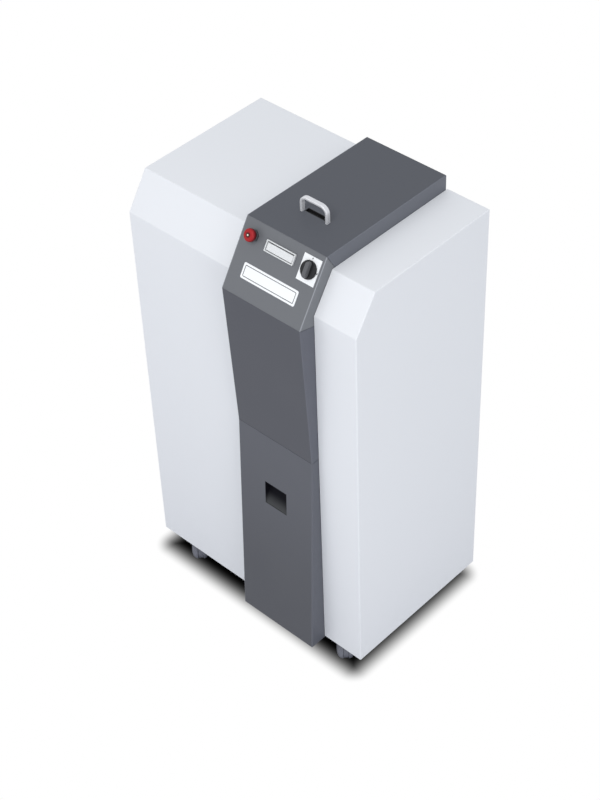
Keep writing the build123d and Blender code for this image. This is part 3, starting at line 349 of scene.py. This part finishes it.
# painted light: a lighter copy of the column paint on the control panel
panelPaintedLight = powderCoat("panelPaintedLight", (0.142, 0.148, 0.160), rough=0.44, peel=0.06, mottle=0.03, gleam=0.4,
                        paintedFoldLight=panelPaintedFoldLight)
framePaint = powderCoat("framePaint", (0.03, 0.03, 0.032), rough=0.5, peel=0.08, mottle=0.05)
sheetSteel = metal("sheetSteel", (0.56, 0.57, 0.58), rough=0.38, stretch=(60, 60, 60), grain=0.03)
toolSteel = metal("toolSteel", (0.46, 0.46, 0.47), rough=0.3, stretch=(300, 40, 40), grain=0.05)
gearCasting = powderCoat("gearCasting", (0.14, 0.15, 0.165), rough=0.55, peel=0.2, mottle=0.08)
motorPaint = powderCoat("motorPaint", (0.05, 0.09, 0.16), rough=0.4, peel=0.08, mottle=0.05)
electricsPaint = powderCoat("electricsPaint", (0.50, 0.51, 0.50), rough=0.5, peel=0.1, mottle=0.03)
castorPlastic = moulded("castorPlastic", (0.14, 0.145, 0.175), rough=0.42, grain=0.05)
whitePlastic = moulded("whitePlastic", (0.86, 0.87, 0.88), rough=0.38, grain=0.03, gloss=0.15, mottle=0.01)
slotPlastic = moulded("slotPlastic", (0.70, 0.71, 0.715), rough=0.38, grain=0.03, gloss=0.1, mottle=0.01)
# painted shade: the feed flap is dark, so the gap round its pale pad shows as a dark line
flapPaintedShade = moulded("flapPaintedShade", (0.10, 0.10, 0.105), rough=0.5, grain=0.03)
labelFilm = moulded("labelFilm", (0.88, 0.89, 0.90), rough=0.5, grain=0.02, mottle=0.008)
inkBlack = moulded("inkBlack", (0.018, 0.018, 0.020), rough=0.6, grain=0.02)
blackPlastic = moulded("blackPlastic", (0.012, 0.012, 0.013), rough=0.5)
knobPlastic = moulded("knobPlastic", (0.030, 0.032, 0.036), rough=0.30, grain=0.03, gloss=0.5)
handleAluminium = metal("handleAluminium", (0.80, 0.80, 0.82), rough=0.55, stretch=(500, 500, 500), grain=0.04,
                        shine=0.55)
lockBrass = metal("lockBrass", (0.92, 0.88, 0.74), rough=0.4, stretch=(200, 200, 200), grain=0.02, shine=0.6)
brightMetal = metal("brightMetal", (0.50, 0.50, 0.51), rough=0.22, stretch=(200, 200, 200), grain=0.02)
keyPlastic = moulded("keyPlastic", (0.06, 0.016, 0.014), **keySkin)
collarPlastic = moulded("collarPlastic", (0.19, 0.010, 0.012), **keySkin)
binPlastic = moulded("binPlastic", (0.035, 0.036, 0.04), rough=0.5, grain=0.1)


def toneAndShadeRamp(finish, grit, factor, look):
    # plastic that goes from its low tone to its high one; on the pull's scoop and the stop button this ramp is
    # painted shade
    finish.wire(finish.shader, {
        "Base Color": finish.tint(factor, look["low"], look["high"]),
        "Roughness": look["rough"] + (grit - 0.5) * plasticSkin["graded"],
        "Normal": finish.bump(grit, look["grain"], plasticSkin["depth"]),
        "Specular IOR Level": look["gleam"],
    })
    return finish.material


# painted shade: the pull's scoop darkens towards its deep top
scoop = {"rise": (0.613, 0.660), "low": (0.062, 0.064, 0.066, 1), "high": (0.004, 0.004, 0.007, 1),
         "mottle": 0.08, "rough": 0.75, "grain": 0.06, "gleam": 0.1}


def paintedDepthShade(name, look):
    finish = Finish(name)
    where = finish.place()
    grit = finish.noise(where, *plasticSkin["grit"])
    rise = finish.step(finish.axis(where, "Z"), *look["rise"])
    return toneAndShadeRamp(finish, grit, rise + (grit - 0.5) * look["mottle"], look)


pullPaintedShade = paintedDepthShade("pullPaintedShade", scoop)

# control panel frame: x along it, y up its slope, z away from it
panel = {"head": (0.147, -0.201, 1.636), "upSlope": (0, 0.52921, 0.84849), "outward": (0, -0.84849, 0.52921)}

# the switch knob's grip is paler than its disc; the stop button's red carries painted shade, bright on its
# crown and dark towards its edge
grip = {"rise": (0.0084, 0.0098), "low": (0.012, 0.0125, 0.014, 1), "high": (0.104, 0.106, 0.112, 1),
        "rough": 0.38, "grain": 0.03, "gleam": 0.3}
stop = {"rise": (0.0175, 0.0285), "low": (0.11, 0.004, 0.007, 1), "high": (0.36, 0.011, 0.015, 1),
        "rough": 0.5, "grain": 0.03, "gleam": 0.25}


def twoToneAndShade(name, look):
    # the tone changes with the height over the control panel: two-tone on the knob, painted shade on the stop
    # button
    finish = Finish(name)
    where = finish.place()
    grit = finish.noise(where, *plasticSkin["grit"])
    away = finish.vector("SUBTRACT", where, panel["head"])
    height = finish.vector("DOT_PRODUCT", away, panel["outward"], out="Value")
    return toneAndShadeRamp(finish, grit, finish.step(height, *look["rise"]), look)


knobGrip = twoToneAndShade("knobGrip", grip)
stopPaintedShade = twoToneAndShade("stopPaintedShade", stop)

wear = {
    "cover_paint": coverPaint, "column_paint": columnPaint, "frame_paint": framePaint,
    "sheet_steel": sheetSteel, "tool_steel": toolSteel, "gear_casting": gearCasting,
    "motor_paint": motorPaint, "electrics_paint": electricsPaint, "castor_plastic": castorPlastic,
    "white_plastic": whitePlastic, "label_film": labelFilm, "black_plastic": blackPlastic,
    "knob_plastic": knobPlastic, "stop_red": stopPaintedShade, "handle_aluminium": handleAluminium,
    "bright_metal": brightMetal, "bin_plastic": binPlastic,
}
special = {
    "control_panel": panelPaintedLight, "upper_front_panel": frontPaintedShade, "drawer_front": drawerPaintedShade,
    "finger_pull": pullPaintedShade, "slot_frame": slotPlastic, "feed_flap": flapPaintedShade,
    "estop_key": keyPlastic, "switch_knob": knobGrip,
}
for part in frame["record"]["subparts"]:
    solid = nodes[part["node"]]
    solid.data.materials.clear()
    solid.data.materials.append(special.get(part["node"], wear[part["material_slot"]]))

panelTurn = Matrix(((1, 0, 0), panel["upSlope"], panel["outward"])).transposed().to_4x4()
panelFrame = Matrix.Translation(panel["head"]) @ panelTurn
pinhole = 0.0001  # radius left open on the axis of a turned piece


def setOnPanel(shape, x, y, z):
    bmesh.ops.transform(shape, matrix=panelFrame @ Matrix.Translation((x, y, z)), verts=shape.verts)


def cornersOf(items):
    return [item for item in items if isinstance(item, bmesh.types.BMVert)]


def closeUp(shape):
    # merges the doubles and turns the faces outwards
    bmesh.ops.remove_doubles(shape, verts=shape.verts, dist=1e-6)
    bmesh.ops.recalc_face_normals(shape, faces=shape.faces)


def joinInto(joined, shape):
    # adds a shape to another and lets it go
    spare = bpy.data.meshes.new("spare")
    shape.to_mesh(spare)
    shape.free()
    joined.from_mesh(spare)
    bpy.data.meshes.remove(spare)


def makeBlock(size, edge):
    # a bevelled block that stands on its base
    shape = bmesh.new()
    bmesh.ops.create_cube(shape, size=1)
    bmesh.ops.translate(shape, vec=(0, 0, 0.5), verts=shape.verts)
    bmesh.ops.scale(shape, vec=size, verts=shape.verts)
    bmesh.ops.bevel(shape, geom=shape.edges[:], affect="EDGES", offset=edge, segments=3, profile=0.5,
                    material=-1)
    return shape


def makeRounded(size, corner):
    # a flat rectangle with round corners
    shape = bmesh.new()
    bmesh.ops.create_grid(shape, x_segments=1, y_segments=1, size=0.5)
    bmesh.ops.scale(shape, vec=(*size, 1), verts=shape.verts)
    bmesh.ops.bevel(shape, geom=shape.verts[:], affect="VERTICES", offset=corner, segments=8, profile=0.5,
                    material=-1)
    return shape


def makeTurned(outline, steps):
    # a closed outline of (radius, height) points turned about the z axis
    shape = bmesh.new()
    corners = [shape.verts.new((radius, 0, height)) for radius, height in outline]
    edges = [shape.edges.new(pair) for pair in zip(corners, corners[1:] + corners[:1])]
    bmesh.ops.spin(shape, geom=corners + edges, cent=(0, 0, 0), axis=(0, 0, 1), angle=2 * pi, steps=steps,
                   use_merge=True)
    closeUp(shape)
    return shape


# thin printed line round the bare label
labelLine = {"at": (0, -0.150, 0.001), "size": (0.199, 0.035), "corner": 0.004, "width": 0.0019,
             "height": 0.00015}


def makeLabelLine(line):
    shape = makeRounded(line["size"], line["corner"])
    inset = bmesh.ops.inset_region(shape, faces=shape.faces[:], thickness=line["width"], use_boundary=True)
    middle = [face for face in shape.faces if face not in inset["faces"]]
    bmesh.ops.delete(shape, geom=middle, context="FACES")
    raised = bmesh.ops.extrude_face_region(shape, geom=shape.faces[:], use_keep_orig=True)["geom"]
    bmesh.ops.translate(shape, vec=(0, 0, line["height"]), verts=cornersOf(raised))
    bmesh.ops.recalc_face_normals(shape, faces=shape.faces)
    setOnPanel(shape, *line["at"])
    ring = makePiece("labelLine", shape, inkBlack)
    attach(ring, "cabinet")


makeLabelLine(labelLine)

# two marks on the switch plate, at the knob's end positions
switchMarks = {"at": (0.113, -0.056, 0.002), "size": (0.0032, 0.005, 0.0003), "edge": 0.0001,
               "spots": {"switchMarkTop": (0, 0.0345), "switchMarkRight": (0.0305, 0)}}


def makeSwitchMarks(marks):
    x, y, z = marks["at"]
    for name, (across, up) in marks["spots"].items():
        shape = makeBlock(marks["size"], marks["edge"])
        setOnPanel(shape, x + across, y + up, z)
        mark = makePiece(name, shape, inkBlack)
        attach(mark, "cabinet")


makeSwitchMarks(switchMarks)

# raised pad on the feed flap, nearly flush with the frame
flapPad = {"at": (0.0008, -0.0528, -0.0004), "size": (0.0996, 0.0224, 0.0052), "edge": 0.0008,
           "border": 0.002, "dish": 0.0004}


def makeFlapPad(pad):
    shape = makeBlock(pad["size"], pad["edge"])
    front = max(shape.faces, key=lambda face: face.calc_center_median().z)
    bmesh.ops.inset_region(shape, faces=[front], thickness=pad["border"], depth=-pad["dish"])
    setOnPanel(shape, *pad["at"])
    plate = makePiece("flapPad", shape, slotPlastic)
    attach(plate, "feed_flap")


makeFlapPad(flapPad)

# dark red collar round the release key
keyCollar = {"at": (-0.108, -0.045, 0.028), "inside": 0.00625, "outside": 0.0080, "height": 0.0009,
             "steps": 48}


def makeKeyCollar(collar):
    inside, outside, height = collar["inside"], collar["outside"], collar["height"]
    lip = height / 3
    outline = [(inside, 0), (outside, 0), (outside, height - lip), (outside - lip, height),
               (inside + lip, height), (inside, height - lip)]
    shape = makeTurned(outline, collar["steps"])
    setOnPanel(shape, *collar["at"])
    ring = makePiece("keyCollar", shape, collarPlastic, softEdge)
    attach(ring, "estop_head")


makeKeyCollar(keyCollar)

# bright lock in the middle of the release key
keyLock = {"at": (-0.108, -0.045, 0.0294), "radius": 0.0027, "height": 0.0006, "crown": 0.85, "steps": 32}


def makeKeyLock(lock):
    radius, height = lock["radius"], lock["height"]
    outline = [(pinhole, 0), (radius, 0), (radius, height / 2), (radius * lock["crown"], height),
               (pinhole, height)]
    shape = makeTurned(outline, lock["steps"])
    setOnPanel(shape, *lock["at"])
    barrel = makePiece("keyLock", shape, lockBrass, softEdge)
    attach(barrel, "estop_key")


makeKeyLock(keyLock)

# soft seals in the seams above and below the control panel
seals = {
    "x": (-0.006, 0.300), "thick": 0.0011, "deep": 0.004, "edge": 0.0001,
    "seams": {"sealHead": {"corner": (-0.201, 1.636), "inward": (0.4852, -0.8745), "sunk": 0.00045},
              "sealNose": {"corner": (-0.322, 1.442), "inward": (0.9684, -0.2494), "sunk": 0.0003}},
}


def makeSeals(look):
    left, right = look["x"]
    for name, seam in look["seams"].items():
        inward = Vector((0, *seam["inward"]))
        across = inward.cross(Vector((1, 0, 0)))
        turn = Matrix(((1, 0, 0), across, inward)).transposed().to_4x4()
        place = Matrix.Translation(Vector(((left + right) / 2, *seam["corner"])) + inward * seam["sunk"])
        shape = makeBlock((right - left, look["thick"], look["deep"]), look["edge"])
        bmesh.ops.transform(shape, matrix=place @ turn, verts=shape.verts)
        strip = makePiece(name, shape, panelPaintedLight)
        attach(strip, "cabinet")


makeSeals(seals)

# lid handle: a bent strap with eased edges
bow = {"left": 0.0976, "right": 0.1956, "y": -0.0815, "foot": 1.636, "top": 1.6875, "bend": 0.022,
       "bar": (0.0090, 0.0155), "corner": 0.0030, "steps": 14}


def makeBow(look):
    left, right, y, foot, bend = (look[key] for key in ("left", "right", "y", "foot", "bend"))
    shoulder = look["top"] - bend
    shape = makeRounded(look["bar"], look["corner"])
    bmesh.ops.translate(shape, vec=(left, y, foot), verts=shape.verts)
    bmesh.ops.delete(shape, geom=shape.faces[:], context="FACES_ONLY")

    def openEnd(items):
        # the section at the open end, as its corners and edges
        corners = cornersOf(items)
        return corners + [edge for edge in shape.edges if all(corner in corners for corner in edge.verts)]

    def grow(end, reach):
        paintedBendHighlight = [item for item in end if isinstance(item, bmesh.types.BMEdge)]
        longer = openEnd(bmesh.ops.extrude_edge_only(shape, edges=paintedBendHighlight)["geom"])
        bmesh.ops.translate(shape, vec=reach, verts=cornersOf(longer))
        return longer

    def turn(end, x):
        bent = bmesh.ops.spin(shape, geom=end, cent=(x, y, shoulder), axis=(0, 1, 0), angle=pi / 2,
                              steps=look["steps"])
        return openEnd(bent["geom_last"])

    end = grow(openEnd(shape.verts), (0, 0, shoulder - foot))
    end = turn(end, left + bend)
    end = grow(end, (right - left - 2 * bend, 0, 0))
    end = turn(end, right - bend)
    grow(end, (0, 0, foot - shoulder))
    bmesh.ops.holes_fill(shape, edges=shape.edges[:])
    closeUp(shape)
    piece = makePiece("handleBow", shape, handleAluminium, softEdge)
    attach(piece, "lid")
    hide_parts("lid_handle")


makeBow(bow)

# domed twin wheels of the castors, about their axles
castors = {
    "places": {"front_left": (-0.345, -0.2075), "front_right": (0.345, -0.2075),
               "rear_left": (-0.345, 0.2695), "rear_right": (0.345, 0.2695)},
    "trail": 0.025, "turn": -46, "radius": 0.0375, "inner": 0.009, "tread": 0.002, "outer": 0.031,
    "ease": 0.001, "hub": 0.006, "axle": 0.0035, "core": 0.0039, "recess": 0.0005, "rings": 10, "steps": 64,
}


def makeWheels(look):
    heading = radians(look["turn"])
    radius, inner, outer, hub, ease = (look[key] for key in ("radius", "inner", "outer", "hub", "ease"))
    dome = outer - inner - look["tread"]
    arc = [pi / 2 * ring / look["rings"] for ring in range(look["rings"] + 1)]
    outline = [(look["axle"], inner), (radius - ease, inner), (radius, inner + ease)]
    outline += [(hub + (radius - hub) * cos(angle), outer - dome + dome * sin(angle)) for angle in arc]
    outline.append((look["axle"], outer))
    mirrored = [(across, -along) for across, along in outline]
    reach = outer - look["recess"]
    core = [(pinhole, -reach), (look["core"], -reach), (look["core"], reach), (pinhole, reach)]
    turn = Matrix.Rotation(heading, 4, "Z") @ Matrix.Rotation(-pi / 2, 4, "X")
    for name, (x, y) in look["places"].items():
        joined = bmesh.new()
        for profile in (outline, mirrored, core):
            joinInto(joined, makeTurned(profile, look["steps"]))
        centre = (x + look["trail"] * cos(heading), y + look["trail"] * sin(heading), radius)
        bmesh.ops.transform(joined, matrix=Matrix.Translation(centre) @ turn, verts=joined.verts)
        piece = makePiece("wheels_" + name, joined, castorPlastic, softEdge)
        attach(piece, "wheels_" + name)
        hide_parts("castor_wheels_" + name)


makeWheels(castors)

# pan-head screws along the rear panel's edges
rearScrews = {"wall": 0.318, "columns": (0.003, 0.291), "low": 0.175, "high": 1.53, "rows": 6,
              "radius": 0.0042, "height": 0.0022, "socket": 0.0020, "floor": 0.25,
              "shoulders": ((0.72, 0.93), (0.93, 0.6)), "steps": 24}


def makeRearScrews(screws):
    radius, height, socket = screws["radius"], screws["height"], screws["socket"]
    floor = height * screws["floor"]
    shoulders = [(radius * across, height * up) for across, up in screws["shoulders"]]
    outline = [(socket, floor), (socket, height), *shoulders, (radius, 0), (pinhole, 0), (pinhole, floor)]
    pitch = (screws["high"] - screws["low"]) / (screws["rows"] - 1)
    turn = Matrix.Rotation(-pi / 2, 4, "X")
    joined = bmesh.new()
    for x in screws["columns"]:
        for row in range(screws["rows"]):
            shape = makeTurned(outline, screws["steps"])
            place = Matrix.Translation((x, screws["wall"], screws["low"] + row * pitch))
            bmesh.ops.transform(shape, matrix=place @ turn, verts=shape.verts)
            joinInto(joined, shape)
    heads = makePiece("rearScrews", joined, brightMetal, softEdge)
    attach(heads, "cabinet")


makeRearScrews(rearScrews)
print("details made")
